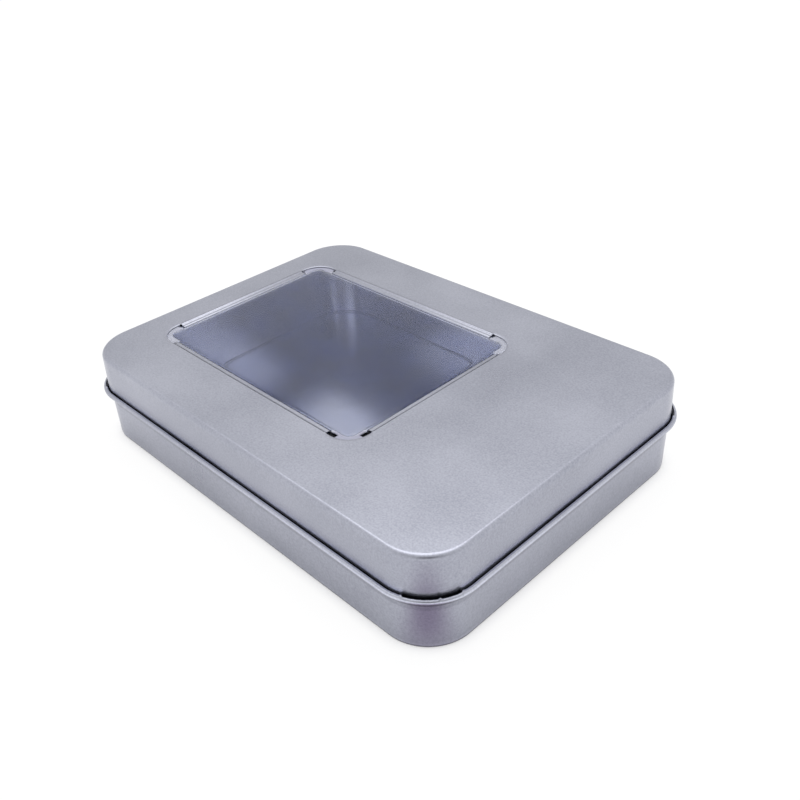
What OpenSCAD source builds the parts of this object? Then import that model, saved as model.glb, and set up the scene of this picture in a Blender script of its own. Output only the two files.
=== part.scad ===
// Rectangular tin box with a lift-off lid and a clear window clinched into the lid.
// Millimetres, +Z up, standing on Z = 0. The origin is under the middle of the box, X is the long side.

/* [Overall size] */
// Length over the lid's rolled edge
box_l = 115; // [90:1:160]
// Width over the lid's rolled edge
box_w = 85; // [70:1:120]
// Height with the lid on
box_h = 22; // [18:0.5:40]
// Plan radius of the corners, over the rolled edge
corner_r = 11.9; // [9:0.1:20]
// Thickness of the tin sheet
sheet_t = 0.23; // [0.2:0.01:0.3]

/* [Lid] */
// Height of the lid, from the rolled edge's underside to the top panel
lid_h = 10.1; // [8:0.05:14]
// How far the skirt stands in from the rolled edge
skirt_in = 1.2; // [1:0.05:1.6]
// How much the skirt leans in by the top
skirt_lean = 0.3; // [0:0.05:0.4]
// Outer radius of the fold between the skirt and the top panel
lid_fold_r = 0.95; // [0.9:0.05:2]
// Outer radius of the upper part of the rolled edge
curl_r = 0.5; // [0.4:0.05:0.7]
// How far the raw edge turns back towards the skirt
curl_turn = 138; // [110:1:150]

/* [Body] */
// Play between the body's wall and the lid's skirt
lid_play = 0.12; // [0.1:0.01:0.4]
// Outer radius of the bend between the walls and the floor
base_r = 0.4; // [0.35:0.05:1.5]
// Outer radius of the rim that is rolled inward under the lid
rim_r = 0.4; // [0.35:0.05:0.45]
// How much more than the skirt the body's upper wall leans in
rim_lean = 0.1; // [0.1:0.05:0.3]
// Play between the rim and the lid's top panel
rim_play = 0.15; // [0.1:0.05:0.5]

/* [Window] */
// Length of the window opening, along X
window_l = 68.5; // [50:0.5:80]
// Width of the window opening, along Y
window_w = 51.9; // [36:0.1:58]
// Where the middle of the opening lies along X
window_x = -13.4; // [-14:0.05:0]
// Corner radius of the opening
window_r = 5.5; // [4:0.1:8]

/* [Window tabs] */
// How far the tabs' land is pressed below the top panel
land_drop = 0.3; // [0.25:0.05:0.5]
// Width of the sloping step from the top panel down to the land
step_w = 0.55; // [0.3:0.05:0.7]
// Width of the land, from the opening's edge to the tab's inner face
land_w = 1.5; // [1.4:0.05:2]
// Outer radius of the tabs' bends
tab_bend_r = 0.45; // [0.4:0.05:0.55]
// Height of a tab, from its land to the underside of the folded end
tab_h = 1.1; // [1.05:0.05:1.6]
// How far a tab's folded end reaches back under the sheet
tab_reach = 2.6; // [2:0.1:3]
// Straight length left free at each corner of the opening, beside a tab
tab_gap_x = 7.05; // [6:0.05:9]
// The same along the short sides
tab_gap_y = 6.65; // [6:0.05:9]
// Length of the relief notch at each end of a tab
notch_l = 1.9; // [0.5:0.1:2]
// Width of the relief notch
notch_w = 1.1; // [0.4:0.05:1.3]

/* [Window sheet] */
// Thickness of the clear sheet
clear_t = 0.28; // [0.2:0.01:0.3]
// How far the flange reaches out past the opening
flange_w = 3.4; // [2.8:0.1:4]
// How far below the top panel the raised middle lies
middle_drop = 0.05; // [0:0.05:0.2]
// Width of the sloping shoulder round the raised middle
shoulder_w = 0.3; // [0.2:0.05:0.6]
// Corner radius of the raised middle
middle_r = 2; // [1.2:0.1:4]

/* [Part] */
// Sub-part to draw: all, body_pan, lid_shell or window_sheet

/* [Hidden] */
corner_fn = 48;
bend_fn = 24;

// Centres of the corner arcs, shared by every wall, so that the walls stay parallel round the corners
arc_x = box_l / 2 - corner_r;
arc_y = box_w / 2 - corner_r;

// Heights of the lid
lid_base_z = box_h - lid_h;
panel_z = box_h - sheet_t;
bend_r = (skirt_in + sheet_t) / 2;
bend_z = lid_base_z + bend_r;
fold_z = box_h - lid_fold_r;

// Insets of the walls from the outside of the rolled edge
skirt_top_in = skirt_in + skirt_lean;
body_in = skirt_in + sheet_t + lid_play;
rim_in = body_in + skirt_lean + rim_lean;
rim_z = panel_z - rim_play - rim_r;

// The window's tabs and sheet
land_z = box_h - land_drop;
tab_l_x = window_l - 2 * tab_gap_x;
tab_l_y = window_w - 2 * tab_gap_y;
flange_z = land_z - sheet_t - clear_t;
slot_in = land_w - tab_bend_r;
slot_out = land_w + 0.1;
middle_in = slot_out + shoulder_w;
middle_z = box_h - middle_drop;

tin = [0.72, 0.74, 0.78];
clear = [0.86, 0.89, 0.93, 0.35];

// A section swept round the box. Its x is the distance out from the corner arcs' centres, its y is Z.
module wall_sweep(half_x, half_y) {
    for (side = [0, 1]) {
        rotate([0, 0, 180 * side]) {
            translate([-half_x, half_y, 0])
                rotate([90, 0, 90])
                    linear_extrude(height = 2 * half_x) children();
            translate([half_x, half_y, 0])
                rotate([90, 0, 0])
                    linear_extrude(height = 2 * half_y) children();
            translate([half_x, half_y, 0])
                rotate_extrude(angle = 90, $fn = corner_fn) children();
            translate([-half_x, half_y, 0])
                rotate([0, 0, 90])
                    rotate_extrude(angle = 90, $fn = corner_fn) children();
        }
    }
}

// A flat outline with rounded corners
module rounded(length, width, r) {
    union() {
        square([length - 2 * r, width], center = true);
        square([length, width - 2 * r], center = true);
        for (sx = [-1, 1])
            for (sy = [-1, 1])
                translate([sx * (length / 2 - r), sy * (width / 2 - r)])
                    circle(r = r, $fn = corner_fn);
    }
}

// A quarter of a sheet's bend, from its outer radius; turn 0 opens to +x +y, and 90, 180, 270 follow
module bend(r, turn) {
    rotate([0, 0, turn])
        intersection() {
            difference() {
                circle(r = r, $fn = bend_fn);
                circle(r = r - sheet_t, $fn = bend_fn);
            }
            square([r + 1, r + 1]);
        }
}

// The false-wire curl in section: the bend under the skirt and the part that turns back up
module curl_section() {
    mid = corner_r - bend_r;
    translate([mid, bend_z]) bend(bend_r, 180);
    translate([mid, bend_z]) bend(bend_r, 270);
    translate([corner_r - curl_r, bend_z])
        intersection() {
            difference() {
                circle(r = curl_r, $fn = bend_fn);
                circle(r = curl_r - sheet_t, $fn = bend_fn);
            }
            polygon([
                [0, 0],
                [2, 0],
                [2, 2],
                [-2 * sin(curl_turn - 90), 2],
                [2 * cos(curl_turn), 2 * sin(curl_turn)]
            ]);
        }
}

module lid_section() {
    union() {
        curl_section();
        polygon([
            [corner_r - skirt_in, bend_z],
            [corner_r - skirt_top_in, fold_z],
            [corner_r - skirt_top_in - sheet_t, fold_z],
            [corner_r - skirt_in - sheet_t, bend_z]
        ]);
        translate([corner_r - skirt_top_in - lid_fold_r, fold_z]) bend(lid_fold_r, 0);
    }
}

module body_section() {
    wall_x = corner_r - body_in;
    rim_x = corner_r - rim_in;
    union() {
        translate([wall_x - base_r, base_r]) bend(base_r, 270);
        translate([wall_x - sheet_t, base_r])
            square([sheet_t, lid_base_z + bend_r - base_r]);
        polygon([
            [wall_x, bend_z],
            [rim_x, rim_z],
            [rim_x - sheet_t, rim_z],
            [wall_x - sheet_t, bend_z]
        ]);
        translate([rim_x - rim_r, rim_z]) bend(rim_r, 0);
        translate([rim_x - rim_r, rim_z]) bend(rim_r, 90);
        translate([rim_x - rim_r, rim_z]) bend(rim_r, 180);
    }
}

module body_pan() {
    floor_in = body_in + base_r;
    color(tin)
        union() {
            wall_sweep(arc_x, arc_y) body_section();
            linear_extrude(height = sheet_t)
                rounded(box_l - 2 * floor_in, box_w - 2 * floor_in, corner_r - floor_in);
        }
}

// One tab in section: x runs from the opening's edge towards its middle, y is Z
module tab_section() {
    foot_z = land_z - tab_h;
    face = land_w - sheet_t;
    union() {
        polygon([
            [-sheet_t / 2, box_h],
            [0, box_h],
            [step_w, land_z],
            [step_w, land_z - sheet_t],
            [0, land_z - sheet_t + land_drop / 2],
            [-sheet_t / 2, panel_z]
        ]);
        translate([step_w, land_z - sheet_t])
            square([land_w - tab_bend_r - step_w, sheet_t]);
        translate([land_w - tab_bend_r, land_z - tab_bend_r]) bend(tab_bend_r, 0);
        translate([face, foot_z + tab_bend_r])
            square([sheet_t, tab_h - 2 * tab_bend_r]);
        translate([land_w - tab_bend_r, foot_z + tab_bend_r]) bend(tab_bend_r, 270);
        translate([land_w - tab_bend_r - tab_reach, foot_z])
            square([tab_reach, sheet_t]);
    }
}

// A tab on the +X side of the opening, running along Y
module tab(half_opening, length) {
    translate([half_opening, length / 2, 0])
        rotate([90, 0, 0])
            linear_extrude(height = length)
                mirror([1, 0]) tab_section();
}

// Both relief notches of a side, as plan outlines at its edge
module notches(half_opening, length) {
    for (s = [-1, 1])
        translate([half_opening - notch_w / 2, s * (length + notch_l) / 2])
            square([notch_w, notch_l], center = true);
}

module window_sides() {
    for (turn = [0, 180]) {
        rotate([0, 0, turn]) children(0);
        rotate([0, 0, turn + 90]) children(1);
    }
}

module lid_shell() {
    panel_in = skirt_top_in + lid_fold_r;
    color(tin)
        union() {
            wall_sweep(arc_x, arc_y) lid_section();
            translate([0, 0, panel_z])
                linear_extrude(height = sheet_t)
                    difference() {
                        rounded(box_l - 2 * panel_in, box_w - 2 * panel_in, corner_r - panel_in);
                        translate([window_x, 0]) rounded(window_l, window_w, window_r);
                    }
            translate([window_x, 0, 0])
                window_sides() {
                    tab(window_l / 2, tab_l_y);
                    tab(window_w / 2, tab_l_x);
                }
        }
}

// The sloping shoulder between the flange and the raised middle, in section
module shoulder_section() {
    polygon([
        [middle_r + shoulder_w, flange_z],
        [middle_r + shoulder_w, flange_z + clear_t],
        [middle_r, middle_z],
        [middle_r - clear_t, middle_z],
        [middle_r - clear_t, middle_z - clear_t],
        [middle_r + shoulder_w - clear_t, flange_z]
    ]);
}

// What is cut out of the sheet on one side: the tab's slot and the two notches beside it
module side_cuts(half_opening, length) {
    translate([half_opening - (slot_in + slot_out) / 2, 0])
        square([slot_out - slot_in, length + 0.4], center = true);
    notches(half_opening, length);
}

module window_sheet() {
    middle_l = window_l - 2 * middle_in;
    middle_w = window_w - 2 * middle_in;
    color(clear)
        translate([window_x, 0, 0])
            difference() {
                union() {
                    translate([0, 0, flange_z])
                        linear_extrude(height = clear_t)
                            difference() {
                                rounded(
                                    window_l + 2 * flange_w,
                                    window_w + 2 * flange_w,
                                    window_r + flange_w
                                );
                                rounded(
                                    middle_l + 2 * shoulder_w,
                                    middle_w + 2 * shoulder_w,
                                    middle_r + shoulder_w
                                );
                            }
                    wall_sweep(middle_l / 2 - middle_r, middle_w / 2 - middle_r) shoulder_section();
                    translate([0, 0, middle_z - clear_t])
                        linear_extrude(height = clear_t)
                            rounded(
                                middle_l - 2 * clear_t,
                                middle_w - 2 * clear_t,
                                middle_r - clear_t
                            );
                }
                translate([0, 0, flange_z - 1])
                    linear_extrude(height = clear_t + 2)
                        window_sides() {
                            side_cuts(window_l / 2, tab_l_y);
                            side_cuts(window_w / 2, tab_l_x);
                        }
            }
}

body_pan();
lid_shell();
window_sheet();
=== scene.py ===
"""Rectangular tin box with a lift-off lid and a clear window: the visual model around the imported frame."""

import math

import bmesh
import bpy
from mathutils import Matrix, Vector


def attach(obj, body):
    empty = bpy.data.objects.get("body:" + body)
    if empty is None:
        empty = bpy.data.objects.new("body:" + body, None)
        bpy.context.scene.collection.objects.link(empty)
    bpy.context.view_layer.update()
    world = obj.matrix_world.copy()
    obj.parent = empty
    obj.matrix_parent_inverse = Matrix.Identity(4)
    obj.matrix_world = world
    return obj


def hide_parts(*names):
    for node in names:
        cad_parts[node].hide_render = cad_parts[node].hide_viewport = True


bl_info = {
    "name": "Tin box with a windowed lid",
    "version": (1, 0, 0),
    "blender": (4, 5, 0),
    "location": "3D Viewport > Sidebar > Tin box",
    "description": "Builds the drawn pan, the lift-off lid with its rolled edge, and the clinched window",
    "category": "Object",
}

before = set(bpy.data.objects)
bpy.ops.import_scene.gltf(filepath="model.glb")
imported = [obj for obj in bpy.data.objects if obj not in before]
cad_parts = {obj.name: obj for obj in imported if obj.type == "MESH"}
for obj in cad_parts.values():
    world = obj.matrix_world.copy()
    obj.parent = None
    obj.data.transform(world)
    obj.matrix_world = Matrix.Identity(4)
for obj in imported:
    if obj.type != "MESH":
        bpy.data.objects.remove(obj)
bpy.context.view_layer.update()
MM = 0.001


# Sizes and colours that a user would change

def length(label, description, size):
    """A length property, with its default size in mm."""
    return bpy.props.FloatProperty(
        name=label, description=description, default=size * MM, unit="LENGTH", precision=5)


class TinBoxSizes(bpy.types.PropertyGroup):
    """Sizes of the box, the same as in the part's source."""

    box_l: length("Length", "Length over the lid's rolled edge", 115)
    box_w: length("Width", "Width over the lid's rolled edge", 85)
    box_h: length("Height", "Height with the lid on", 22)
    corner_r: length("Corner radius", "Plan radius of the corners, over the rolled edge", 11.9)
    sheet_t: length("Sheet", "Thickness of the tin sheet", 0.23)
    lid_h: length("Lid height", "From the rolled edge's underside to the top panel", 10.1)
    skirt_in: length("Skirt inset", "How far the skirt stands in from the rolled edge", 1.2)
    skirt_lean: length("Skirt lean", "How much the skirt leans in by the top", 0.3)
    lid_fold_r: length("Lid fold", "Outer radius of the fold between skirt and top panel", 0.95)
    curl_r: length("Curl radius", "Outer radius of the upper part of the rolled edge", 0.5)
    curl_turn: bpy.props.FloatProperty(
        name="Curl turn", description="How far the raw edge turns back towards the skirt",
        default=math.radians(138), subtype="ANGLE")
    lid_play: length("Lid play", "Play between the body's wall and the lid's skirt", 0.12)
    base_r: length("Base edge", "Outer radius of the bend between walls and floor", 0.4)
    rim_r: length("Rim", "Outer radius of the rim that is rolled inward under the lid", 0.4)
    rim_lean: length("Rim lean", "How much more than the skirt the body's upper wall leans in", 0.1)
    rim_play: length("Rim play", "Play between the rim and the lid's top panel", 0.15)
    window_l: length("Window length", "Length of the window opening", 68.5)
    window_w: length("Window width", "Width of the window opening", 51.9)
    window_x: length("Window place", "Where the middle of the opening lies along X", -13.4)
    window_r: length("Window corner", "Corner radius of the window opening", 5.5)
    land_drop: length("Land drop", "How far the tabs' land is pressed below the top panel", 0.3)
    step_w: length("Step width", "Width of the sloping step from the top panel down to the land", 0.55)
    land_w: length("Land width", "From the opening's edge to the tab's inner face", 1.5)
    tab_bend_r: length("Tab bend", "Outer radius of the tabs' bends", 0.45)
    tab_h: length("Tab height", "From the land to the underside of the folded end", 1.1)
    tab_reach: length("Tab reach", "How far the folded end reaches back under the sheet", 2.6)
    notch_l: length("Notch length", "Length of the relief notch at each end of a tab", 2.5)
    notch_w: length("Notch width", "Width of the relief notch", 0.6)
    front_gap_w: length("Front gap width", "Width of the two notches at the front corner, torn wider", 1.4)
    clear_t: length("Clear sheet", "Thickness of the clear sheet", 0.28)
    flange_w: length("Flange", "How far the clear sheet's flange reaches out past the opening", 3.4)
    middle_drop: length("Middle drop", "How far below the top panel the sheet's raised middle lies", 0.05)
    middle_in: length("Middle inset", "How far inside the opening the raised middle ends", 1.9)
    crown_w: length("Crown width", "How far in from its edge the raised middle is rounded", 2.5)
    middle_r: length("Middle corner", "Corner radius of the raised middle", 2)
    tab_gap_x: length("Free length X", "Straight length beside a tab on the long sides", 7.05)
    tab_gap_y: length("Free length Y", "Straight length beside a tab on the short sides", 6.65)


class TinBoxFinish(bpy.types.PropertyGroup):
    """Colours of the box."""

    tin: bpy.props.FloatVectorProperty(
        name="Tin", description="Colour of the bare tin sheet", subtype="COLOR",
        size=3, min=0, max=1, default=(0.40, 0.41, 0.47))
    tin_dark: bpy.props.FloatVectorProperty(
        name="Tin, worn", description="Colour of the tin sheet in its duller patches", subtype="COLOR",
        size=3, min=0, max=1, default=(0.30, 0.31, 0.365))
    clear: bpy.props.FloatVectorProperty(
        name="Clear sheet", description="Tint of the window sheet", subtype="COLOR",
        size=3, min=0, max=1, default=(0.96, 0.975, 1.0))
    haze: bpy.props.FloatVectorProperty(
        name="Haze", description="Colour of the sheet's faint haze", subtype="COLOR",
        size=3, min=0, max=1, default=(0.16, 0.25, 0.80))
    frost: bpy.props.FloatVectorProperty(
        name="Stretched corners", description="Colour of the sheet where it was stretched in forming",
        subtype="COLOR", size=3, min=0, max=1, default=(0.36, 0.36, 0.42))
    floor: bpy.props.FloatVectorProperty(
        name="Floor", description="Colour of the studio floor", subtype="COLOR",
        size=3, min=0, max=1, default=(0.96, 0.96, 0.97))


# Shapes and tones that only the looks need

# Where the raw edge puckers: the angle round a corner, half its width in degrees, and its height
PUCKERS = (
    (-69.5, 1.3, 0.20 * MM),
    (-35.2, 1.0, 0.34 * MM),
    (-13.6, 1.6, 0.26 * MM),
    (24, 1.4, 0.16 * MM),
    (62, 1.6, 0.19 * MM),
    (118, 1.5, 0.18 * MM),
    (149, 1.2, 0.15 * MM),
    (-112, 1.3, 0.17 * MM),
    (-152, 1.5, 0.18 * MM),
)

# Height of the small uneven waves between the puckers
WAVE_H = 0.03 * MM

# Where the curl closed less: from one angle to another round a corner, and by what share
OPENINGS = (
    (-69, -14, 0.36),
    (25, 60, 0.3),
    (120, 147, 0.25),
    (-150, -114, 0.3),
)

# The droop of the panel's edge in the window's corners, as distances in mm: out from the edge, and down
EDGE_DROOP = ((0.8, 0), (0.55, 0.02), (0.3, 0.05), (0.1, 0.1), (0, 0.16))

# Tones up the outside, as heights in mm: painted shade at the base edge with a painted highlight line just
# above it, and painted shade on the wall below and under the lid's rolled edge
RAMP_TOP = 22
BODY_SHADE_AND_HIGHLIGHT = (
    (0.0, 0.3), (0.35, 0.4), (0.6, 1.15), (1.2, 1.0), (9.2, 1.0), (9.55, 0.82), (10.25, 0.82),
    (10.45, 0.5), (10.7, 0.35), (22.0, 0.35),
)
# Tones up the lid, as heights in mm: painted shade on the lower face of the rolled edge
LID_UNDERSIDE_SHADE = ((0.0, 0.35), (11.95, 0.35), (12.1, 1.0), (22.0, 1.0))
# Tones up the inside, as heights in mm: painted brighter all over, with a painted shade line in the crease at
# the floor
INSIDE_LIGHT_AND_CREASE_SHADE = ((0.0, 1.4), (0.25, 1.4), (0.32, 0.7), (0.6, 0.7), (0.8, 1.4), (22.0, 1.4))

# Painted sheen and shade up the skirt: height in mm above the middle of the curl, then tone added where shut
# and where open: a painted sheen where the curl is shut, painted shade beside the curl where it stands open
SKIRT_SHEEN_AND_SHADE = (
    (0.1, 0.5, -0.85), (0.25, 1.1, -0.85), (0.45, 1.1, -0.4), (0.7, 1.1, 0.7),
    (0.95, 0.95, 0.6), (1.3, 0.45, 0.2), (1.8, 0.1, 0), (2.3, 0, 0),
)

# Painted shade added inside the curl, on its underside, and on the dark blocks under the two front notches
CURL_HOLLOW_SHADE = -0.8
CURL_UNDERSIDE_SHADE = -0.35
NOTCH_SHADE_TONE = -0.95

# The floor in front of the box's near corner, and the dark shade that the tin mirrors there
NEAR_CORNER = (60 * MM, -46 * MM, 0)
NEAR_SHADE = (0.30, 0.19, 0.36, 1)

# Painted highlight on the curl, brightest near that corner: tone added, how far from the corner, and how high
# it starts
CURL_HIGHLIGHT_TONE = 0.65
CURL_HIGHLIGHT_REACH = 110 * MM
CURL_HIGHLIGHT_UP = 0.45 * MM

# Directions in the room as azimuth and elevation in degrees, by the same angles as the camera's
CEILING = (228, 78)
EITHER_SIDE = (138, 0)
NEAR_SIDE = (48, 28)

# Colours of the room, and the share of plain white that floor and room show
WHITE = (1, 1, 1, 1)
DULL_TINT = (0.92, 0.80, 0.98, 1)
FLOOR_WHITE_TO_CAMERA = 0.9
FLOOR_WHITE_IN_GLOSS = 0.55
ROOM_WHITE_IN_GLOSS = 0.5

# Points that lie closer than this become one
MERGE = 0.0001 * MM


# Nodes

def add(tree, kind, label="", inputs=None, **settings):
    """A node of that kind. Each input is a fixed value or another node's output."""
    node = tree.nodes.new(kind)
    node.label = label
    for key, value in settings.items():
        setattr(node, key, value)
    for key, value in (inputs or {}).items():
        if isinstance(value, bpy.types.NodeSocket):
            tree.links.new(value, node.inputs[key])
        else:
            node.inputs[key].default_value = value
    return node


def worked_out(tree, label, operation, *values):
    """The result of one step of arithmetic on up to three values."""
    return add(tree, "ShaderNodeMath", label, dict(enumerate(values)), operation=operation).outputs[0]


def ranged(tree, label, value, start, end, low, high, **settings):
    """A value between start and end, brought to lie between low and high."""
    ends = {"Value": value, "From Min": start, "From Max": end, "To Min": low, "To Max": high}
    return add(tree, "ShaderNodeMapRange", label, ends, **settings).outputs["Result"]


def mixed(tree, label, factor, a, b, data_type="RGBA", blend_type="MIX"):
    """A mix of two colours, or of two numbers where data_type is FLOAT."""
    ends = {"Factor": factor, "A": a, "B": b}
    node = add(tree, "ShaderNodeMix", label, ends, data_type=data_type, blend_type=blend_type)
    return node.outputs["Result"]


def mixed_shader(tree, label, factor, first, second):
    """A shader that goes from the first to the second while the factor goes from 0 to 1."""
    return add(tree, "ShaderNodeMixShader", label, {0: factor, 1: first, 2: second}).outputs[0]


def noise(tree, label, place, scale, detail):
    """Soft noise from 0 to 1."""
    inputs = {"Vector": place, "Scale": scale, "Detail": detail}
    return add(tree, "ShaderNodeTexNoise", label, inputs).outputs["Fac"]


def attribute(tree, label, name):
    """A value that the mesh carries at its points."""
    return add(tree, "ShaderNodeAttribute", label, attribute_name=name).outputs["Fac"]


def colour_ramp(tree, label, value, stops):
    """A ramp through colours at their places from 0 to 1."""
    ramp = add(tree, "ShaderNodeValToRGB", label, {"Fac": value})
    elements = ramp.color_ramp.elements
    for i, end in ((0, stops[0]), (1, stops[-1])):
        elements[i].position = end[0]
        elements[i].color = (*end[1], 1)
    for place, colour in stops[1:-1]:
        elements.new(place).color = (*colour, 1)
    return ramp.outputs["Color"]


def height_ramp(tree, label, level, marks):
    """Grey tones against the height, from marks as (height in mm, tone)."""
    stops = [(height / RAMP_TOP, (tone, tone, tone)) for height, tone in marks]
    return colour_ramp(tree, label, level, stops)


# Materials

def new_material(name):
    """An empty node material and its tree."""
    mat = bpy.data.materials.new(name)
    mat.use_nodes = True
    mat.node_tree.nodes.clear()
    return mat, mat.node_tree


def tin_material(name, light, dark, marks):
    """Bare tinplate: fine stone-rolled grain, cloudy dull patches, and painted shade and highlights up its
    height and on the lid's edge, painted brighter inside the pan.
    """
    mat, tree = new_material(name)
    place = add(tree, "ShaderNodeTexCoord", "Place on the box").outputs["Object"]
    clouds = noise(tree, "Cloudy patches", place, 45, 4)
    speck = noise(tree, "Fine grain", place, 2600, 3)
    rolled = add(tree, "ShaderNodeMapping", "Rolling direction", {"Vector": place, "Scale": (60, 2400, 2400)})
    lines = noise(tree, "Rolling lines", rolled.outputs["Vector"], 1, 2)
    inside = attribute(tree, "Inside of the pan", "inside")
    # The lid's painted shade and highlights, carried by its points
    dull_and_painted_light = attribute(tree, "Painted light on the lid's edge", "dull_and_painted_light")

    grain = ranged(tree, "Less grain inside", inside, 0, 1, 0.6, 0.15)
    tone = mixed(tree, "Patches and grain", grain, clouds, speck, "FLOAT")
    bare = colour_ramp(tree, "Tin colour", tone, ((0.36, dark), (0.64, light)))
    height = add(tree, "ShaderNodeSeparateXYZ", "Height on the box", {"Vector": place}).outputs["Z"]
    level = ranged(tree, "Height as a share", height, 0, RAMP_TOP * MM, 0, 1)
    # Painted shade and highlight lines up the height
    outside = height_ramp(tree, "Painted highlight and dull lines", level, marks)
    # Inside the pan: painted brighter, with painted shade in the crease at its floor
    fold = height_ramp(tree, "Fold at the pan's floor", level, INSIDE_LIGHT_AND_CREASE_SHADE)
    painted_light_tone = worked_out(tree, "Painted light as a tone", "ADD", dull_and_painted_light, 1)
    outside = mixed(tree, "Marks and wear", 1, outside, painted_light_tone, blend_type="MULTIPLY")
    marked = mixed(tree, "Brighter and unmarked inside", inside, outside, fold)
    colour = mixed(tree, "Tin with its marks", 1, bare, marked, blend_type="MULTIPLY")

    rough = ranged(tree, "Roughness", clouds, 0.3, 0.7, 0.27, 0.34)
    rough = mixed(tree, "Shinier inside", inside, rough, 0.24, "FLOAT")
    relief = mixed(tree, "Grain and lines", 0.35, speck, lines, "FLOAT")
    strength = mixed(tree, "Fainter grain inside", inside, 0.35, 0, "FLOAT")
    grain_height = 0.02 * MM
    bump = add(tree, "ShaderNodeBump", "Grain relief", {
        "Strength": strength,
        "Distance": grain_height,
        "Height": relief,
    })
    shader = add(tree, "ShaderNodeBsdfPrincipled", "Tinplate", {
        "Base Color": colour,
        "Metallic": 1,
        "Roughness": rough,
        "Normal": bump.outputs["Normal"],
    })
    add(tree, "ShaderNodeOutputMaterial", "", {"Surface": shader.outputs["BSDF"]})
    return mat


def clear_material(name, tint, haze, frost):
    """Clear formed plastic with a faint blue haze, a soft ripple and frosted, stretched corners."""
    mat, tree = new_material(name)
    place = add(tree, "ShaderNodeTexCoord", "Place on the box").outputs["Object"]
    ripple = noise(tree, "Ripple of the sheet", place, 70, 1)
    dust = noise(tree, "Haze and dust", place, 140, 4)
    stretched = attribute(tree, "Where it was stretched", "stretched")
    ripple_height = 0.2 * MM
    bump = add(tree, "ShaderNodeBump", "Ripple relief", {
        "Strength": 0.15,
        "Distance": ripple_height,
        "Height": ripple,
    })
    shader = add(tree, "ShaderNodeBsdfPrincipled", "Clear sheet", {
        "Base Color": mixed(tree, "Whitened where stretched", stretched, (*tint, 1), (*frost, 1)),
        "Roughness": ranged(tree, "Rougher where stretched", stretched, 0, 1, 0, 0.45),
        "Transmission Weight": ranged(tree, "Light through", stretched, 0, 1, 1, 0.2),
        "IOR": 1.33,
        "Normal": bump.outputs["Normal"],
    })
    veil = add(tree, "ShaderNodeBsdfDiffuse", "Haze", {"Color": (*haze, 1)})
    patches = ranged(tree, "Uneven haze", dust, 0.35, 0.65, 0.036, 0.056)
    sheet = mixed_shader(tree, "Sheet and haze", patches, shader.outputs["BSDF"], veil.outputs["BSDF"])
    add(tree, "ShaderNodeOutputMaterial", "", {"Surface": sheet})
    return mat


def seen_directly(tree, path):
    """1 where the camera sees a surface, also through the clear sheet, and 0 in a reflection."""
    straight = worked_out(tree, "No gloss on the way", "LESS_THAN", path["Glossy Depth"], 0.5)
    through = worked_out(tree, "Through the clear sheet", "MULTIPLY", path["Is Transmission Ray"], straight)
    return worked_out(tree, "Seen by the camera", "MAXIMUM", path["Is Camera Ray"], through)


def floor_material(name, colour):
    """Pale studio floor that stays white to the camera and keeps a soft contact shadow."""
    mat, tree = new_material(name)
    path = add(tree, "ShaderNodeLightPath", "What sees the floor").outputs
    around = add(tree, "ShaderNodeAmbientOcclusion", "Round the box", {"Distance": 16 * MM})
    close = add(tree, "ShaderNodeAmbientOcclusion", "Right beside the box", {"Distance": 2.5 * MM})
    gloss = worked_out(tree, "Gloss or glass", "MAXIMUM", path["Is Glossy Ray"], path["Is Transmission Ray"])
    gloss = worked_out(tree, "Share of white in gloss", "MULTIPLY", gloss, FLOOR_WHITE_IN_GLOSS)
    gloss = worked_out(tree, "Less round the box", "MULTIPLY", gloss, around.outputs["AO"])
    direct = seen_directly(tree, path)
    direct = worked_out(tree, "Share of white to the camera", "MULTIPLY", direct, FLOOR_WHITE_TO_CAMERA)
    direct = worked_out(tree, "Less where the box stands", "MULTIPLY", direct, close.outputs["AO"])
    share = worked_out(tree, "Share of white", "MAXIMUM", gloss, direct)
    matt = add(tree, "ShaderNodeBsdfDiffuse", "Floor", {"Color": (*colour, 1)})
    white = add(tree, "ShaderNodeEmission", "White ground", {"Color": WHITE})
    ground = mixed_shader(tree, "Floor and white", share, matt.outputs["BSDF"], white.outputs["Emission"])

    place = add(tree, "ShaderNodeTexCoord", "Place on the floor").outputs["Object"]
    away = add(tree, "ShaderNodeVectorMath", "From the near corner", {0: place, 1: NEAR_CORNER},
               operation="DISTANCE")
    blot = ranged(tree, "Shade before the near corner", away.outputs["Value"], 3 * MM, 16 * MM, 0.75, 0,
                  interpolation_type="SMOOTHSTEP")
    blot = worked_out(tree, "Seen in the tin alone", "MULTIPLY", blot, path["Is Glossy Ray"])
    shade = add(tree, "ShaderNodeEmission", "Shade", {"Color": NEAR_SHADE})
    ground = mixed_shader(tree, "Floor and shade", blot, ground, shade.outputs["Emission"])
    add(tree, "ShaderNodeOutputMaterial", "", {"Surface": ground})
    return mat


# Sections of the bent sheets: x is the distance inward from the path, y is the height

def arc(cx, cz, r, start, end, steps):
    """Points on an arc, angles in degrees, with 0 pointing outward and 90 up."""
    points = []
    for i in range(steps + 1):
        a = math.radians(start + (end - start) * i / steps)
        points.append((cx - r * math.cos(a), cz + r * math.sin(a)))
    return points


def ease(x):
    """A smooth step from 0 to 1 while x goes from 0 to 1."""
    x = max(0, min(1, x))
    return x * x * (3 - 2 * x)


def bend_radius(s):
    """Outer radius of the bend that turns the lid's skirt outward and up."""
    return (s.skirt_in + s.sheet_t) / 2


def bend_height(s):
    """Height of that bend's middle."""
    return s.box_h - s.lid_h + bend_radius(s)


def pan_inset(s):
    """How far the pan's outer wall stands in from the lid's rolled edge."""
    return s.skirt_in + s.sheet_t + s.lid_play


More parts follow.
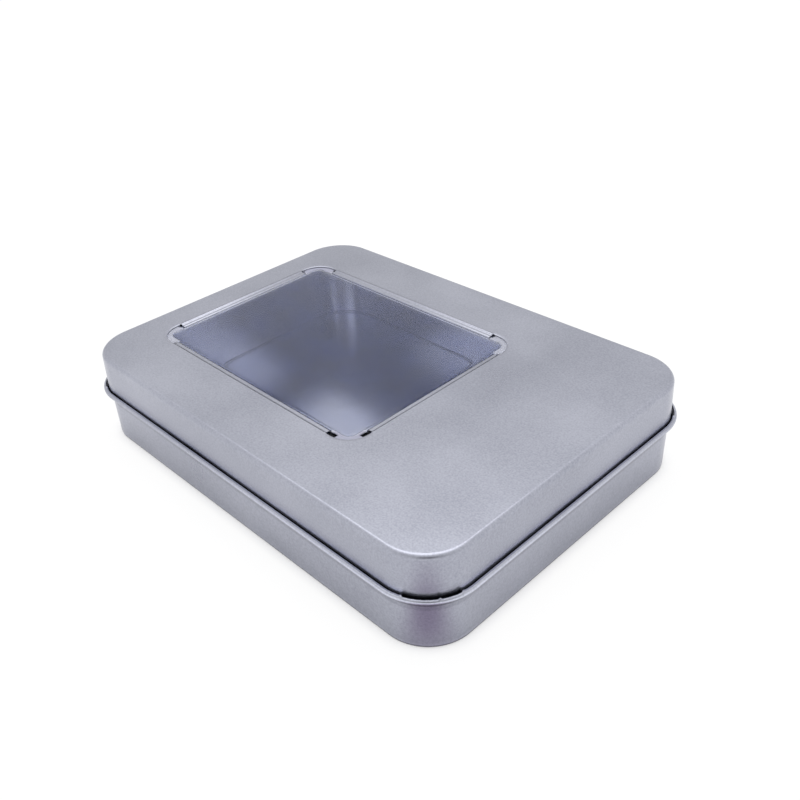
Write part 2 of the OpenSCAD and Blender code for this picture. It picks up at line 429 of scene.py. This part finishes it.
def body_section(s):
    """The pan's section as an open line: under the floor, up outside, round the rim, down inside."""
    t = s.sheet_t
    wall = pan_inset(s)
    rim = wall + s.skirt_lean + s.rim_lean + s.rim_r
    rim_z = s.box_h - t - s.rim_play - s.rim_r
    line = arc(wall + s.base_r, s.base_r, s.base_r, -90, 0, 8)
    line.append((wall, bend_height(s)))
    line += arc(rim, rim_z, s.rim_r, 0, 270, 24)
    line += arc(rim, rim_z, s.rim_r - t, 270, 0, 20)
    line.append((wall + t, bend_height(s)))
    line += arc(wall + s.base_r, s.base_r, s.base_r - t, 0, -90, 6)
    return line


def lid_section(s):
    """The lid's section as an open line: off the panel, down the skirt, round the curl and back inside."""
    t = s.sheet_t
    fold_x = s.skirt_in + s.skirt_lean + s.lid_fold_r
    fold_z = s.box_h - s.lid_fold_r
    bend_r = bend_radius(s)
    bend_z = bend_height(s)
    turn = math.degrees(s.curl_turn)
    line = arc(fold_x, fold_z, s.lid_fold_r, 90, 0, 12)
    for height, _, _ in SKIRT_SHEEN_AND_SHADE[::-1]:
        lean = s.skirt_lean * height * MM / (fold_z - bend_z)
        line.append((s.skirt_in + lean, bend_z + height * MM))
    line += arc(bend_r, bend_z, bend_r - t, -180, 0, 20)
    line += arc(s.curl_r, bend_z, s.curl_r - t, 0, turn, 10)
    line += arc(s.curl_r, bend_z, s.curl_r, turn, 0, 16)
    line += arc(bend_r, bend_z, bend_r, 0, -180, 32)[1:]
    line += arc(fold_x, fold_z, s.lid_fold_r - t, 0, 90, 12)
    return line


def tab_section(s):
    """A tab's section as a closed line. x runs from the opening's edge inward."""
    t = s.sheet_t
    r = s.tab_bend_r
    land = s.box_h - s.land_drop
    foot = land - s.tab_h
    cx = s.land_w - r
    line = [(-t / 2, s.box_h), (0, s.box_h)]
    line += [(s.step_w * i / 8, s.box_h - s.land_drop * ease(i / 8)) for i in range(1, 9)]
    line += [(2 * cx - x, z) for x, z in arc(cx, land - r, r, 90, 0, 8)]
    line += [(2 * cx - x, z) for x, z in arc(cx, foot + r, r, 0, -90, 8)]
    line += [(cx - s.tab_reach, foot), (cx - s.tab_reach, foot + t)]
    line += [(2 * cx - x, z) for x, z in arc(cx, foot + r, r - t, -90, 0, 6)]
    line += [(2 * cx - x, z) for x, z in arc(cx, land - r, r - t, 0, 90, 6)]
    line += [(s.step_w, land - t), (0, land - t + s.land_drop / 2), (-t / 2, s.box_h - t)]
    return line


# Geometry Nodes

def put_in_scene(name, data):
    """An object that holds this mesh or curve."""
    obj = bpy.data.objects.new(name, data)
    bpy.context.scene.collection.objects.link(obj)
    return obj


def section_object(name, points, closed):
    """A poly curve that holds a section in its own XY plane."""
    curve = bpy.data.curves.new(name, "CURVE")
    curve.dimensions = "3D"
    spline = curve.splines.new("POLY")
    spline.points.add(len(points) - 1)
    for point, (x, y) in zip(spline.points, points):
        point.co = (-x, -y, 0, 1)
    spline.use_cyclic_u = closed
    return put_in_scene(name, curve)


def rounded_outline(tree, given):
    """The path round the box: a rectangle with rounded corners."""
    outline = add(tree, "GeometryNodeCurvePrimitiveQuadrilateral", "Outline", {
        "Width": given["Length"],
        "Height": given["Width"],
    })
    fillet = add(tree, "GeometryNodeFilletCurve", "Rounded corners", {
        "Curve": outline.outputs["Curve"],
        "Radius": given["Corner radius"],
        "Count": given["Corner points"],
    }, mode="POLY")
    return fillet.outputs["Curve"]


def opening_edge(tree, given):
    """The path along one straight edge of the opening."""
    line = add(tree, "GeometryNodeCurvePrimitiveLine", "Edge of the opening", {
        "Start": given["Start"],
        "End": given["End"],
    })
    return line.outputs["Curve"]


def bending_tree(name, sizes, lay_path, closed_ends):
    """A node group that bends a section along the path that lay_path makes of the named sizes."""
    tree = bpy.data.node_groups.new(name, "GeometryNodeTree")
    tree.interface.new_socket(name="Geometry", in_out="OUTPUT", socket_type="NodeSocketGeometry")
    for label, kind in (*sizes, ("Section", "Object"), ("Material", "Material")):
        tree.interface.new_socket(name=label, in_out="INPUT", socket_type="NodeSocket" + kind)
    given = add(tree, "NodeGroupInput").outputs
    upright = add(tree, "GeometryNodeSetCurveNormal", "Keep the section upright", {
        "Curve": lay_path(tree, given),
    }, mode="Z_UP")
    section = add(tree, "GeometryNodeObjectInfo", "Section", {"Object": given["Section"]})
    sweep = add(tree, "GeometryNodeCurveToMesh", "Bent sheet", {
        "Curve": upright.outputs["Curve"],
        "Profile Curve": section.outputs["Geometry"],
        "Fill Caps": closed_ends,
    })
    smooth = add(tree, "GeometryNodeSetShadeSmooth", "", {"Geometry": sweep.outputs["Mesh"]})
    real = add(tree, "GeometryNodeRealizeInstances", "", {"Geometry": smooth.outputs["Geometry"]})
    paint = add(tree, "GeometryNodeSetMaterial", "", {
        "Geometry": real.outputs["Geometry"],
        "Material": given["Material"],
    })
    add(tree, "NodeGroupOutput", "", {"Geometry": paint.outputs["Geometry"]})
    return tree


def evaluated_mesh(holder):
    """The plain mesh that an object's modifiers make. The object is removed."""
    bpy.context.view_layer.update()
    evaluated = holder.evaluated_get(bpy.context.evaluated_depsgraph_get())
    mesh = bpy.data.meshes.new_from_object(evaluated)
    bpy.data.objects.remove(holder)
    return mesh


def run_tree(tree, values):
    """Runs a node group with these named inputs and returns its result as a plain mesh."""
    holder = put_in_scene("tree_holder", bpy.data.meshes.new("tree_holder"))
    modifier = holder.modifiers.new("Tree", "NODES")
    modifier.node_group = tree
    for item in tree.interface.items_tree:
        if item.item_type == "SOCKET" and item.in_out == "INPUT":
            modifier[item.identifier] = values[item.name]
    return evaluated_mesh(holder)


def wall_round_box(s, name, points, corner_points, tin):
    """A section bent round the box, as a bmesh that is open inside the section's two ends."""
    sizes = (("Length", "Float"), ("Width", "Float"), ("Corner radius", "Float"), ("Corner points", "Int"))
    tree = bending_tree("Wall round a rounded rectangle", sizes, rounded_outline, False)
    section = section_object(name, points, False)
    mesh = run_tree(tree, {
        "Length": s.box_l,
        "Width": s.box_w,
        "Corner radius": s.corner_r,
        "Corner points": corner_points,
        "Section": section,
        "Material": tin,
    })
    bpy.data.objects.remove(section)
    bm = bmesh.new()
    bm.from_mesh(mesh)
    return bm


# Shaping

def finish_piece(name, bm, material, body, node):
    """Turns a bmesh into a finished piece at the origin that rides on its body."""
    bmesh.ops.remove_doubles(bm, verts=bm.verts, dist=MERGE)
    bmesh.ops.recalc_face_normals(bm, faces=bm.faces)
    mesh = bpy.data.meshes.new(name)
    bm.to_mesh(mesh)
    bm.free()
    for face in mesh.polygons:
        face.use_smooth = True
        face.material_index = 0
    mesh.materials.clear()
    mesh.materials.append(material)
    obj = put_in_scene(name, mesh)
    weighted = obj.modifiers.new("Flat faces stay flat", "WEIGHTED_NORMAL")
    weighted.weight = 90
    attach(obj, body)
    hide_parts(node)


def place_on_outline(s, x, y):
    """How far a point stands in from the rolled edge, and its angle round the corner (None on a straight)."""
    qx = abs(x) - (s.box_l / 2 - s.corner_r)
    qy = abs(y) - (s.box_w / 2 - s.corner_r)
    if qx > 0 and qy > 0:
        turn = math.degrees(math.atan2(math.copysign(qy, y), math.copysign(qx, x)))
        return s.corner_r - math.hypot(qx, qy), turn
    return s.corner_r - max(qx, qy), None


def opened_share(turn):
    """How far the curl stands open at an angle round the corners, as a share of its turn."""
    opened = 0
    for start, end, share in OPENINGS:
        opened += share * ease((turn - start) / 2 + 0.5) * ease((end - turn) / 2 + 0.5)
    return opened


def painted_shade_and_highlights(s, bm):
    """Paints shade on the lid inside the curl and its bend, on the curl's underside and on the skirt where
    the curl stands open, and paints a sheen on the skirt and a highlight on the curl.
    """
    dull_and_painted_light = bm.verts.layers.float.new("dull_and_painted_light")
    bend_r = bend_radius(s)
    close = 0.02 * MM
    wide_open = 0.3
    for vert in bm.verts:
        inset, turn = place_on_outline(s, vert.co.x, vert.co.y)
        rise = vert.co.z - bend_height(s)
        on_skirt = rise > close and s.skirt_in - close < inset < s.skirt_in + 0.1 * MM
        in_curl = rise > 0 and math.hypot(inset - s.curl_r, rise) < s.curl_r - s.sheet_t / 2
        in_bend = rise < close and math.hypot(inset - bend_r, rise) < bend_r - s.sheet_t / 2
        if on_skirt:
            # Painted sheen on the skirt where the curl is shut, painted shade beside the curl where it stands
            # open
            open_here = 0 if turn is None else min(1, opened_share(turn) / wide_open)
            for height, shut, opened in SKIRT_SHEEN_AND_SHADE:
                if abs(rise - height * MM) < close:
                    vert[dull_and_painted_light] = shut + (opened - shut) * open_here
        elif in_curl or in_bend:
            # Painted shade in the hollow of the curl and its bend
            vert[dull_and_painted_light] = CURL_HOLLOW_SHADE
        elif rise < CURL_HIGHLIGHT_UP and inset < bend_r:
            # Painted highlight on the curl, fading away from the near corner, turning to painted shade on its
            # underside
            away = math.hypot(vert.co.x - NEAR_CORNER[0], vert.co.y - NEAR_CORNER[1])
            painted_highlight = CURL_HIGHLIGHT_TONE * max(0, 1 - away / CURL_HIGHLIGHT_REACH) * ease((CURL_HIGHLIGHT_UP - rise) / (0.3 * MM))
            below = ease((-0.05 * MM - rise) / (0.25 * MM))
            vert[dull_and_painted_light] = painted_highlight + (CURL_UNDERSIDE_SHADE - painted_highlight) * below


def crinkle(s, bm):
    """Opens and puckers the curl's raw edge round the corners, where the strip gathered as it was rolled."""
    bend_z = bend_height(s)
    fade_degrees = 8
    for vert in bm.verts:
        rise = vert.co.z - bend_z
        inset, turn = place_on_outline(s, vert.co.x, vert.co.y)
        if turn is None or not 0 < rise < 1.2 * s.curl_r or inset > s.skirt_in - 0.1 * MM:
            continue
        lift = 0
        for place, width, height in PUCKERS:
            lift += height * math.exp(-(((turn - place) / width) ** 2))
        from_end = min(abs(turn) % 90, 90 - abs(turn) % 90)
        lift += min(1, from_end / fade_degrees) * WAVE_H * math.sin(turn * 1.9) * math.sin(turn * 0.83 + 1)
        r = math.hypot(inset - s.curl_r, rise)
        bend = math.atan2(rise, s.curl_r - inset)
        # 0 at the curl's foot and 1 at its raw edge
        raw = ease(bend / s.curl_turn * 1.4 - 0.3)
        bend *= 1 - opened_share(turn)
        stand = s.corner_r - (s.curl_r - r * math.cos(bend))
        centre_x = math.copysign(s.box_l / 2 - s.corner_r, vert.co.x)
        centre_y = math.copysign(s.box_w / 2 - s.corner_r, vert.co.y)
        vert.co.x = centre_x + stand * math.cos(math.radians(turn))
        vert.co.y = centre_y + stand * math.sin(math.radians(turn))
        vert.co.z = bend_z + r * math.sin(bend) + lift * raw


def boundary_loops(bm):
    """The open edge loops of a mesh, as lists of edges."""
    left = dict.fromkeys(edge for edge in bm.edges if edge.is_boundary)
    loops = []
    while left:
        todo = [left.popitem()[0]]
        loop = list(todo)
        while todo:
            for vert in todo.pop().verts:
                for other in vert.link_edges:
                    if other in left:
                        del left[other]
                        loop.append(other)
                        todo.append(other)
        loops.append(loop)
    return loops


def corner_share(s, x, y):
    """1 in the opening's corners, 0 beside its tabs. x and y are from the opening's middle."""
    past_x = abs(x) - (s.window_l / 2 - s.tab_gap_x)
    past_y = abs(y) - (s.window_w / 2 - s.tab_gap_y)
    return ease(min(past_x, past_y) / (1 * MM))


def window_ring(s, inset, r, z, rise=0):
    """Points round the window at some inset from the opening, higher by rise in the corners."""
    half_x, half_y = s.window_l / 2 - inset, s.window_w / 2 - inset
    end_x, end_y = s.window_l / 2 - s.tab_gap_x, s.window_w / 2 - s.tab_gap_y
    marks = [m * MM for m in (-0.3, 0, 0.2, 0.4, 0.6, 0.8, 1.0)]
    quarter = [(half_x, end_y + m) for m in marks]
    steps = 24
    for i in range(steps + 1):
        a = math.radians(90 * i / steps)
        quarter.append((half_x - r + r * math.cos(a), half_y - r + r * math.sin(a)))
    quarter += [(end_x + m, half_y) for m in reversed(marks)]
    points = []
    for sx, sy in ((1, 1), (-1, 1), (-1, -1), (1, -1)):
        corner = quarter if sx * sy > 0 else quarter[::-1]
        for x, y in corner:
            points.append(Vector((sx * x + s.window_x, sy * y, z + rise * corner_share(s, x, y))))
    return points


def bridge(bm, rings):
    """Joins rings of the same number of points with faces, and returns the rings' vertices."""
    loops = [[bm.verts.new(p) for p in ring] for ring in rings]
    for one, other in zip(loops, loops[1:]):
        for i in range(len(one)):
            bm.faces.new((one[i - 1], one[i], other[i], other[i - 1]))
    return loops


def box_into(bm, low, high):
    """A closed block between two corners."""
    size = Vector(high) - Vector(low)
    middle = (Vector(high) + Vector(low)) / 2
    matrix = Matrix.Translation(middle) @ Matrix.Diagonal((*size, 1))
    bmesh.ops.create_cube(bm, size=1, matrix=matrix)


# The pan

def mark_inside(s, bm):
    """Marks the pan's inside, which is shinier and painted brighter, but a little less so round its far
    corner.
    """
    inside = bm.verts.layers.float.new("inside")
    skin = 0.8 * s.sheet_t
    less = 0.4
    fade_degrees = 25
    for vert in bm.verts:
        inset, turn = place_on_outline(s, vert.co.x, vert.co.y)
        if inset > pan_inset(s) + skin and vert.co.z > skin:
            far_corner = vert.co.x < 0 < vert.co.y and turn and vert.co.z > s.base_r
            from_end = min(turn - 90, 180 - turn) if far_corner else 0
            vert[inside] = 1 - less * ease(from_end / fade_degrees)


class TINBOX_OT_body(bpy.types.Operator):
    """Makes the drawn pan with its rolled rim"""

    bl_idname = "tinbox.body"
    bl_label = "Body pan"

    def execute(self, context):
        s = context.scene.tin_box_sizes
        f = context.scene.tin_box_finish
        tin = tin_material("Tinplate, body", f.tin[:], f.tin_dark[:], BODY_SHADE_AND_HIGHLIGHT)
        bm = wall_round_box(s, "pan_section", body_section(s), 28, tin)
        for loop in boundary_loops(bm):
            bmesh.ops.contextual_create(bm, geom=loop)
        mark_inside(s, bm)
        finish_piece("body_pan_drawn", bm, tin, "pan", "body_pan")
        return {"FINISHED"}


# The lid

def panel_into(s, bm):
    """Closes the lid's top round the window opening, whose rounded corners droop a little."""
    r, top = s.window_r, s.box_h
    rings = [window_ring(s, -out * MM, r + out * MM, top, -droop * MM) for out, droop in EDGE_DROOP]
    out = EDGE_DROOP[0][0] * MM
    rings.append(window_ring(s, 0, r, top - s.sheet_t, -0.1 * MM))
    rings.append(window_ring(s, -out, r + out, top - s.sheet_t))
    outlines = boundary_loops(bm)
    opening = bridge(bm, rings)
    for loop in outlines:
        z = loop[0].verts[0].co.z
        ring = min((opening[0], opening[-1]), key=lambda verts: abs(verts[0].co.z - z))
        edges = [bm.edges.get((ring[i - 1], ring[i])) for i in range(len(ring))]
        bmesh.ops.triangle_fill(bm, edges=loop + edges, use_beauty=True)


def tabs_into(s, bm, tin):
    """Adds the four tabs that step down along the opening's straight edges and clinch the sheet."""
    tree = bending_tree("Strip along a line", (("Start", "Vector"), ("End", "Vector")), opening_edge, True)
    section = section_object("tab_section", tab_section(s), True)
    edge_x, edge_y = s.window_l / 2, s.window_w / 2
    end_x, end_y = edge_x - s.tab_gap_x, edge_y - s.tab_gap_y
    for start, end in (
        ((-end_x, -edge_y), (end_x, -edge_y)),
        ((end_x, edge_y), (-end_x, edge_y)),
        ((edge_x, -end_y), (edge_x, end_y)),
        ((-edge_x, end_y), (-edge_x, -end_y)),
    ):
        strip = run_tree(tree, {
            "Start": (start[0] + s.window_x, start[1], 0),
            "End": (end[0] + s.window_x, end[1], 0),
            "Section": section,
            "Material": tin,
        })
        bm.from_mesh(strip)
    bpy.data.objects.remove(section)


def shade_blocks_under_notches(s, bm):
    """Dark blocks at the ends of the two tabs that meet at the front corner, under their notches in the
    sheet, painted near black as the shade seen through the notches.
    """
    dull_and_painted_light = bm.verts.layers.float["dull_and_painted_light"]
    before = set(bm.verts)
    under = s.box_h - s.land_drop - s.sheet_t - s.clear_t
    z0, z1 = under - 0.3 * MM, under - 0.05 * MM
    edge_x, edge_y = s.window_l / 2, s.window_w / 2
    end_x, end_y = edge_x - s.tab_gap_x, edge_y - s.tab_gap_y
    past = s.notch_l - 0.2 * MM
    back = 0.5 * MM
    deep = s.front_gap_w + 0.35 * MM
    out = 0.2 * MM
    x = s.window_x
    box_into(bm, (x + end_x - back, -edge_y - out, z0), (x + end_x + past, -edge_y + deep, z1))
    box_into(bm, (x + edge_x - deep, -end_y - past, z0), (x + edge_x + out, -end_y + back, z1))
    # The blocks are painted near black, as shade
    for vert in bm.verts:
        if vert not in before:
            vert[dull_and_painted_light] = NOTCH_SHADE_TONE


class TINBOX_OT_lid(bpy.types.Operator):
    """Makes the lid with its fold, skirt, rolled edge, window opening and tabs"""

    bl_idname = "tinbox.lid"
    bl_label = "Lid shell"

    def execute(self, context):
        s = context.scene.tin_box_sizes
        f = context.scene.tin_box_finish
        tin = tin_material("Tinplate, lid", f.tin[:], f.tin_dark[:], LID_UNDERSIDE_SHADE)
        bm = wall_round_box(s, "lid_section", lid_section(s), 90, tin)
        painted_shade_and_highlights(s, bm)
        crinkle(s, bm)
        panel_into(s, bm)
        tabs_into(s, bm, tin)
        shade_blocks_under_notches(s, bm)
        finish_piece("lid_shell_drawn", bm, tin, "lid", "lid_shell")
        return {"FINISHED"}


# The window sheet

def sheet_rings(s):
    """The clear sheet's rings: out over its flange, shoulder and crown, and back underneath."""
    flange = s.box_h - s.land_drop - s.sheet_t
    middle = s.box_h - s.middle_drop
    swell = s.box_h - s.sheet_t - 0.14 * MM - flange
    foot = s.middle_in - 0.2 * MM
    edge = flange + 0.2 * (middle - flange)
    top = [
        (-s.flange_w, s.window_r + s.flange_w, flange, 0),
        (-1.5 * MM, s.window_r + 1.5 * MM, flange, 0),
        (-0.2 * MM, s.window_r + 0.2 * MM, flange, swell),
        (0.6 * MM, s.window_r - 0.9 * MM, flange, swell),
        (foot - 0.15 * MM, s.middle_r + 0.6 * MM, flange, swell),
        (foot, s.middle_r + 0.3 * MM, flange, 0.3 * swell),
        (s.middle_in, s.middle_r, edge, 0),
    ]
    for u in (0.04, 0.1, 0.2, 0.33, 0.5, 0.7, 0.85, 1):
        r = max(0.7 * MM, s.middle_r - 0.55 * u * s.crown_w)
        z = edge + (middle - edge) * math.sqrt(1 - (1 - u) ** 2)
        top.append((s.middle_in + u * s.crown_w, r, z, 0))
    under = [(inset, r, z - s.clear_t, rise) for inset, r, z, rise in reversed(top)]
    return [window_ring(s, *row) for row in top], [window_ring(s, *row) for row in under]


def inside_middle(s, x, y):
    """How far a point lies inside the raised middle's outline, less than 0 outside it."""
    half_x, half_y = s.window_l / 2 - s.middle_in, s.window_w / 2 - s.middle_in
    qx, qy = abs(x) - half_x + s.middle_r, abs(y) - half_y + s.middle_r
    out = math.hypot(qx, qy) if qx > 0 and qy > 0 else max(qx, qy)
    return s.middle_r - out - 0.02 * MM


def slot_cutter(s):
    """Blocks that cut the tabs' slots and the relief notches through the flange."""
    bm = bmesh.new()
    z0 = s.box_h - s.land_drop - s.sheet_t - s.clear_t - 0.3 * MM
    z1 = s.box_h + 0.3 * MM
    slot_in = s.land_w - s.tab_bend_r
    slot_out = s.land_w + 0.1 * MM
    spare = 0.2 * MM
    for half, free, other, along_x in (
        (s.window_w / 2, s.tab_gap_x, s.window_l / 2, True),
        (s.window_l / 2, s.tab_gap_y, s.window_w / 2, False),
    ):
        reach = other - free
        for side in (-1, 1):
            near, far = sorted((side * (half - slot_in), side * (half - slot_out)))
            blocks = [(-reach - spare, near, reach + spare, far)]
            for end in (-1, 1):
                front = (side, end) == ((-1, 1) if along_x else (1, -1))
                width = s.front_gap_w if front else s.notch_w
                length = s.notch_l if front else 0.4 * s.notch_l
                near, far = sorted((side * half, side * (half - width)))
                a, b = sorted((end * reach, end * (reach + length)))
                blocks.append((a, near, b, far))
            for a0, b0, a1, b1 in blocks:
                if along_x:
                    box_into(bm, (a0 + s.window_x, b0, z0), (a1 + s.window_x, b1, z1))
                else:
                    box_into(bm, (b0 + s.window_x, a0, z0), (b1 + s.window_x, a1, z1))
    mesh = bpy.data.meshes.new("slot_cutter")
    bm.to_mesh(mesh)
    bm.free()
    return put_in_scene("slot_cutter", mesh)


def cut_away(mesh, cutter):
    """The mesh less the cutter, as a new plain mesh."""
    holder = put_in_scene("cut_holder", mesh)
    cut = holder.modifiers.new("Cut", "BOOLEAN")
    cut.operation = "DIFFERENCE"
    cut.solver = "EXACT"
    cut.use_self = True
    cut.object = cutter
    result = evaluated_mesh(holder)
    bpy.data.objects.remove(cutter)
    return result


def sheet_blank(s):
    """The formed sheet before its slots and notches are cut, as a closed mesh."""
    bm = bmesh.new()
    top, under = sheet_rings(s)
    loops = bridge(bm, top + under)
    crown, crown_under = loops[len(top) - 1], loops[len(top)]
    middle = set(crown) | set(crown_under)
    for face in list(bm.faces):
        if middle.issuperset(face.verts):
            bm.faces.remove(face)
    bm.faces.new(crown)
    bm.faces.new(crown_under[::-1])
    for i in range(len(crown)):
        bm.faces.new((loops[-1][i - 1], loops[-1][i], loops[0][i], loops[0][i - 1]))
    bmesh.ops.remove_doubles(bm, verts=bm.verts, dist=MERGE)
    bmesh.ops.recalc_face_normals(bm, faces=bm.faces)
    mesh = bpy.data.meshes.new("sheet_blank")
    bm.to_mesh(mesh)
    bm.free()
    return mesh


def mark_stretched(s, bm):
    """Marks the sheet where it was stretched, round its raised middle in the opening's corners."""
    stretched = bm.verts.layers.float.new("stretched")
    reach = 3 * MM
    fainter = 0.55
    for vert in bm.verts:
        x, y = vert.co.x - s.window_x, vert.co.y
        inset = min(s.window_l / 2 - abs(x), s.window_w / 2 - abs(y))
        if inset > -reach and inside_middle(s, x, y) < 0:
            vert[stretched] = corner_share(s, x, y) * (fainter if x * y > 0 else 1)


class TINBOX_OT_window(bpy.types.Operator):
    """Makes the formed clear sheet with its raised middle, flange and slots"""

    bl_idname = "tinbox.window"
    bl_label = "Window sheet"

    def execute(self, context):
        s = context.scene.tin_box_sizes
        f = context.scene.tin_box_finish
        clear = clear_material("Clear sheet", f.clear[:], f.haze[:], f.frost[:])
        bm = bmesh.new()
        bm.from_mesh(cut_away(sheet_blank(s), slot_cutter(s)))
        mark_stretched(s, bm)
        finish_piece("window_sheet_formed", bm, clear, "lid", "window_sheet")
        return {"FINISHED"}


# The studio

def room_direction(azimuth, elevation):
    """A direction in the room, by the same angles as the camera's."""
    a, e = math.radians(azimuth), math.radians(elevation)
    return (math.sin(a) * math.cos(e), -math.cos(a) * math.cos(e), math.sin(e))


def facing(tree, label, ray, direction):
    """How far a ray points towards a direction in the room: 1 along it, 0 across it, -1 away from it."""
    ends = {0: ray, 1: room_direction(*direction)}
    return add(tree, "ShaderNodeVectorMath", label, ends, operation="DOT_PRODUCT").outputs["Value"]


def make_floor(colour):
    """A wide floor under the box."""
    mesh = bpy.data.meshes.new("floor")
    half = 3.0
    corners = [(-half, -half, 0), (half, -half, 0), (half, half, 0), (-half, half, 0)]
    mesh.from_pydata(corners, [], [(0, 1, 2, 3)])
    mesh.materials.append(floor_material("Studio floor", colour))
    put_in_scene("floor", mesh)


def make_world():
    """A soft room: brightest overhead and behind the box, dull on the near side, white to the camera."""
    world = bpy.data.worlds.new("Studio")
    bpy.context.scene.world = world
    world.use_nodes = True
    tree = world.node_tree
    tree.nodes.clear()
    ray = add(tree, "ShaderNodeTexCoord", "Direction").outputs["Generated"]
    overhead = facing(tree, "Towards the ceiling", ray, CEILING)
    overhead = worked_out(tree, "Only the upper half", "MAXIMUM", overhead, 0)
    overhead = worked_out(tree, "Overhead soft box", "POWER", overhead, 6)
    light = worked_out(tree, "Soft box and walls", "MULTIPLY_ADD", overhead, 1.7, 0.75)
    across = facing(tree, "Towards either side", ray, EITHER_SIDE)
    across = worked_out(tree, "Both sides alike", "MULTIPLY", across, across)
    light = worked_out(tree, "Side soft boxes", "MULTIPLY_ADD", across, 0.65, light)
    near = facing(tree, "Towards the near side", ray, NEAR_SIDE)
    dull = ranged(tree, "Dull near side", near, 0.93, 0.99, 1, 0.1, interpolation_type="SMOOTHSTEP")
    light = worked_out(tree, "Light in this direction", "MULTIPLY", light, dull)
    tint = mixed(tree, "Tint in this direction", dull, DULL_TINT, WHITE)
    room = add(tree, "ShaderNodeBackground", "Room", {"Color": tint, "Strength": light}).outputs[0]
    white = add(tree, "ShaderNodeBackground", "White background", {"Color": WHITE}).outputs[0]
    path = add(tree, "ShaderNodeLightPath", "What sees the room").outputs
    gloss = worked_out(tree, "Gloss, less on the dull side", "MULTIPLY", path["Is Glossy Ray"], dull)
    gloss = worked_out(tree, "Share of white in gloss", "MULTIPLY", gloss, ROOM_WHITE_IN_GLOSS)
    share = worked_out(tree, "Share of white", "MAXIMUM", seen_directly(tree, path), gloss)
    seen = mixed_shader(tree, "Room and white", share, room, white)
    add(tree, "ShaderNodeOutputWorld", "", {"Surface": seen})


def make_lamp():
    """A soft box over the far left of the box, pointed at it."""
    light = bpy.data.lights.new("Overhead soft box", "AREA")
    light.size = 0.5
    light.energy = 0.9
    lamp = put_in_scene("Overhead soft box", light)
    lamp.location = (-0.12, 0.10, 0.60)
    target = Vector((0, 0, 0.01))
    lamp.rotation_euler = (target - lamp.location).to_track_quat("-Z", "Y").to_euler()


def make_camera():
    """The photograph's viewing angle, with its slight roll and off-centre framing."""
    azimuth, elevation, roll = 48.368, 33.346, math.radians(-4.077)
    distance = 202.86 * MM
    middle = Vector((0, 0, 11 * MM))
    picture_px = 800
    focal_px, centre_x, centre_y = 874.885, 373.823, 398.271
    back = Vector(room_direction(azimuth, elevation))
    right = Vector((math.cos(math.radians(azimuth)), math.sin(math.radians(azimuth)), 0))
    up = back.cross(right)
    turned_right = right * math.cos(roll) + up * math.sin(roll)
    turned_up = up * math.cos(roll) - right * math.sin(roll)
    data = bpy.data.cameras.new("Camera")
    data.sensor_width = 36
    data.lens = focal_px / picture_px * data.sensor_width
    data.shift_x = (picture_px / 2 - centre_x) / picture_px
    data.shift_y = (centre_y - picture_px / 2) / picture_px
    data.clip_start = 0.005
    data.clip_end = 20
    camera = put_in_scene("Camera", data)
    axes = Matrix((turned_right, turned_up, back)).transposed().to_4x4()
    axes.translation = back * distance + middle
    camera.matrix_world = axes
    bpy.context.scene.camera = camera


class TINBOX_OT_stage(bpy.types.Operator):
    """Sets the floor, the soft light and the camera"""

    bl_idname = "tinbox.stage"
    bl_label = "Studio"

    def execute(self, context):
        make_floor(context.scene.tin_box_finish.floor[:])
        make_world()
        make_lamp()
        make_camera()
        context.scene.view_settings.view_transform = "Standard"
        return {"FINISHED"}


class TINBOX_PT_panel(bpy.types.Panel):
    """Lists the box's pieces and sizes"""

    bl_label = "Tin box"
    bl_idname = "TINBOX_PT_panel"
    bl_space_type = "VIEW_3D"
    bl_region_type = "UI"
    bl_category = "Tin box"

    def draw(self, context):
        layout = self.layout
        for operator in STEPS:
            layout.operator(operator.bl_idname)
        for group in (context.scene.tin_box_sizes, context.scene.tin_box_finish):
            column = layout.column(align=True)
            for name in group.__annotations__:
                column.prop(group, name)


STEPS = (TINBOX_OT_stage, TINBOX_OT_body, TINBOX_OT_lid, TINBOX_OT_window)
CLASSES = (TinBoxSizes, TinBoxFinish, *STEPS, TINBOX_PT_panel)


def register():
    for cls in CLASSES:
        bpy.utils.register_class(cls)
    bpy.types.Scene.tin_box_sizes = bpy.props.PointerProperty(type=TinBoxSizes)
    bpy.types.Scene.tin_box_finish = bpy.props.PointerProperty(type=TinBoxFinish)


def unregister():
    del bpy.types.Scene.tin_box_finish
    del bpy.types.Scene.tin_box_sizes
    for cls in reversed(CLASSES):
        bpy.utils.unregister_class(cls)


def main():
    register()
    bpy.ops.tinbox.stage()
    bpy.ops.tinbox.body()
    bpy.ops.tinbox.lid()
    bpy.ops.tinbox.window()


if __name__ == "__main__":
    main()
